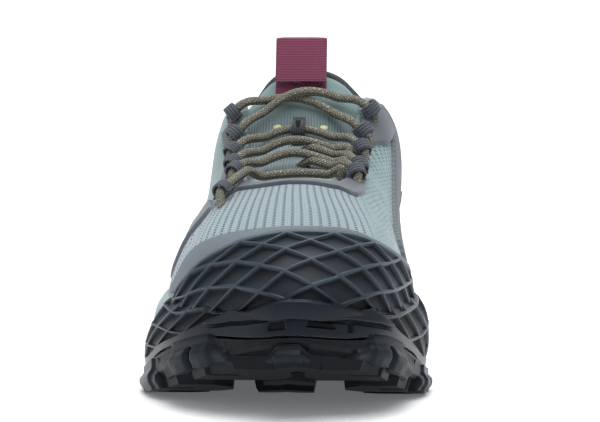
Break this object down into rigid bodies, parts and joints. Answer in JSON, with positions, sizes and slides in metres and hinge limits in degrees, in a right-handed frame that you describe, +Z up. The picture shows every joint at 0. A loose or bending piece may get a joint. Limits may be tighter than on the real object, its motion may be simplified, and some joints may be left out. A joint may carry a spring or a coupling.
{
  "type": "trail running shoe",
  "caption": "Low trail running shoe with a lugged rubber outsole, thick foam midsole, ribbed rubber toe guard, knitted upper, padded tongue with a pull loop, and round laces.",
  "frame": {"origin": "middle of the shoe's bounding box, on the plane that the lugs stand on", "axes": "+X to the medial side, +Y from the toe to the heel, +Z up"},
  "size_m": [0.1111, 0.292, 0.1332],
  "materials": {
    "rubber": "satin moulded rubber, near black blue grey",
    "foam": "matt moulded foam, pale mint",
    "knit": "engineered knit with rows of small holes, light blue grey",
    "film": "thin fused film with a fine grain, cool dark grey",
    "lining": "soft padded fabric, pale mint",
    "insole": "felted cover cloth, dark grey",
    "wine_webbing": "ribbed webbing, wine red",
    "grey_webbing": "ribbed webbing, dark grey",
    "lace": "round braided cord, taupe with pale flecks"
  },
  "bodies": {
    "root": {"outsole": "rubber", "toe_rand": "rubber", "midsole": "foam", "upper": "knit", "toe_band": "film", "eyestay_medial": "film", "eyestay_lateral": "film", "strap_lateral": "film", "saddle_medial": "film", "heel_counter": "film", "tongue": "lining", "insole": "insole", "pull_loop": "wine_webbing", "lace_keeper": "grey_webbing", "lace_top": "lace", "lace_second": "lace", "lace_third": "lace", "lace_fourth": "lace", "lace_fifth": "lace", "lace_loop_lateral_1": "grey_webbing", "lace_loop_lateral_2": "grey_webbing", "lace_loop_lateral_3": "grey_webbing", "lace_loop_lateral_4": "grey_webbing", "lace_loop_lateral_5": "grey_webbing", "lace_loop_lateral_6": "grey_webbing", "lace_loop_medial_1": "grey_webbing", "lace_loop_medial_2": "grey_webbing", "lace_loop_medial_3": "grey_webbing", "lace_loop_medial_4": "grey_webbing", "lace_loop_medial_5": "grey_webbing"}
  },
  "joints": []
}
